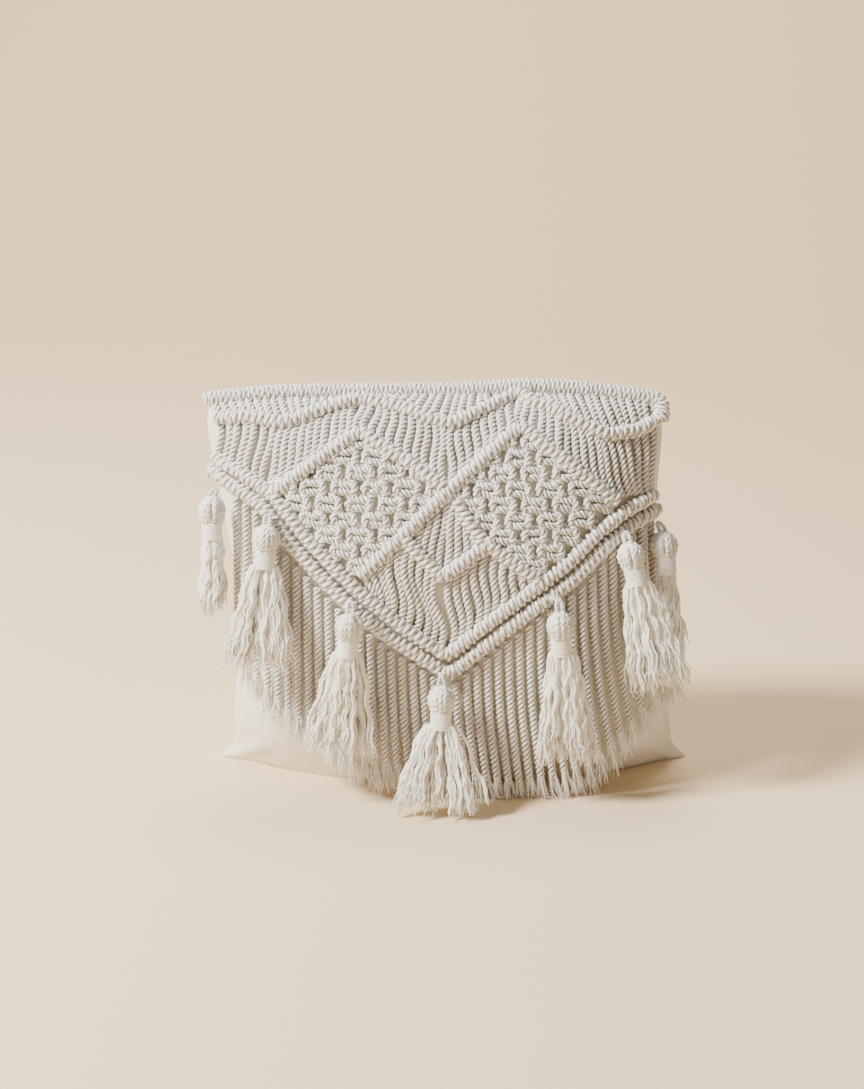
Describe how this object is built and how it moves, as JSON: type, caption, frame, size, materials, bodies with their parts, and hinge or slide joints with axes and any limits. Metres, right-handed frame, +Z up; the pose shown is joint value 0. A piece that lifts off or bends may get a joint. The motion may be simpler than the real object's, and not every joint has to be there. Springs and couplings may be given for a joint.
{
  "type": "floor cushion",
  "caption": "Square cotton cushion standing on its seam, with a knotted macrame front panel, V-shaped rope border, hanging fringe and swinging tassels.",
  "frame": {"origin": "centre of the flattened base, on the floor, on the seam line between front and back panel", "axes": "+X along the cushion's width to the right seen from the front, -Y towards the decorated front, +Z up"},
  "size_m": [0.4433, 0.2498, 0.3699],
  "materials": {
    "cover_canvas": "plain woven cotton canvas",
    "insert_casing": "matte",
    "fibre_filling": "matte",
    "zip_tape": "woven tape",
    "zip_teeth": "satin",
    "zip_metal": "satin",
    "cotton_rope": "three ply twisted cotton",
    "tassel_yarn": "loose cotton yarn"
  },
  "bodies": {
    "cushion": {"cover_front": "cover_canvas", "cover_back": "cover_canvas", "insert_casing_front": "insert_casing", "insert_casing_back": "insert_casing", "insert_filling": "fibre_filling", "zip_tape_front": "zip_tape", "zip_tape_back": "zip_tape", "zip_teeth_front": "zip_teeth", "zip_teeth_back": "zip_teeth", "zip_stop_closed": "zip_metal", "zip_stop_open": "zip_metal", "header_cord": "cotton_rope", "header_loops": "cotton_rope", "ridge_upper_zigzag": "cotton_rope", "ridge_left_shoulder": "cotton_rope", "ridge_centre_long": "cotton_rope", "ridge_right_lower": "cotton_rope", "ridge_chevron": "cotton_rope", "border_inner_row": "cotton_rope", "border_outer_row": "cotton_rope", "strands_upper": "cotton_rope", "strands_middle": "cotton_rope", "strands_inside_chevron": "cotton_rope", "strands_under_chevron": "cotton_rope", "netting_left_diamond": "cotton_rope", "netting_right_diamond": "cotton_rope", "fringe_left": "cotton_rope", "fringe_right": "cotton_rope"},
    "zip_slider": {"zip_slider": "zip_metal"},
    "zip_pull": {"zip_pull": "zip_metal"},
    "tassel_1": {"tassel_1_tie": "cotton_rope", "tassel_1_yarn": "tassel_yarn", "tassel_1_binding": "tassel_yarn"},
    "tassel_2": {"tassel_2_tie": "cotton_rope", "tassel_2_yarn": "tassel_yarn", "tassel_2_binding": "tassel_yarn"},
    "tassel_3": {"tassel_3_tie": "cotton_rope", "tassel_3_yarn": "tassel_yarn", "tassel_3_binding": "tassel_yarn"},
    "tassel_4": {"tassel_4_tie": "cotton_rope", "tassel_4_yarn": "tassel_yarn", "tassel_4_binding": "tassel_yarn"},
    "tassel_5": {"tassel_5_tie": "cotton_rope", "tassel_5_yarn": "tassel_yarn", "tassel_5_binding": "tassel_yarn"},
    "tassel_6": {"tassel_6_tie": "cotton_rope", "tassel_6_yarn": "tassel_yarn", "tassel_6_binding": "tassel_yarn"},
    "tassel_7": {"tassel_7_tie": "cotton_rope", "tassel_7_yarn": "tassel_yarn", "tassel_7_binding": "tassel_yarn"}
  },
  "joints": [
    {"name": "zip_slide", "type": "slide", "parent": "cushion", "child": "zip_slider", "axis": [-1, 0, 0], "range_m": [0, 0.225]},
    {"name": "zip_pull_hinge", "type": "hinge", "parent": "zip_slider", "child": "zip_pull", "pos_m": [0.1218, 0.028, 0.0038], "axis": [0, -1, 0], "range_deg": [0, 170]},
    {"name": "tassel_1_swing", "type": "hinge", "parent": "cushion", "child": "tassel_1", "pos_m": [-0.206, -0.038, 0.272], "axis": [-0.6, 0.8, 0], "range_deg": [0, 70]},
    {"name": "tassel_2_swing", "type": "hinge", "parent": "cushion", "child": "tassel_2", "pos_m": [-0.156, -0.077, 0.258], "axis": [-1, 0, 0], "range_deg": [0, 70]},
    {"name": "tassel_3_swing", "type": "hinge", "parent": "cushion", "child": "tassel_3", "pos_m": [-0.082, -0.113, 0.189], "axis": [-1, 0, 0], "range_deg": [0, 70]},
    {"name": "tassel_4_swing", "type": "hinge", "parent": "cushion", "child": "tassel_4", "pos_m": [-0.002, -0.119, 0.121], "axis": [-1, 0, 0], "range_deg": [0, 70]},
    {"name": "tassel_5_swing", "type": "hinge", "parent": "cushion", "child": "tassel_5", "pos_m": [0.101, -0.111, 0.19], "axis": [-1, 0, 0], "range_deg": [0, 70]},
    {"name": "tassel_6_swing", "type": "hinge", "parent": "cushion", "child": "tassel_6", "pos_m": [0.162, -0.074, 0.241], "axis": [-1, 0, 0], "range_deg": [0, 70]},
    {"name": "tassel_7_swing", "type": "hinge", "parent": "cushion", "child": "tassel_7", "pos_m": [0.195, -0.036, 0.24], "axis": [-0.6, -0.8, 0], "range_deg": [0, 70]}
  ]
}
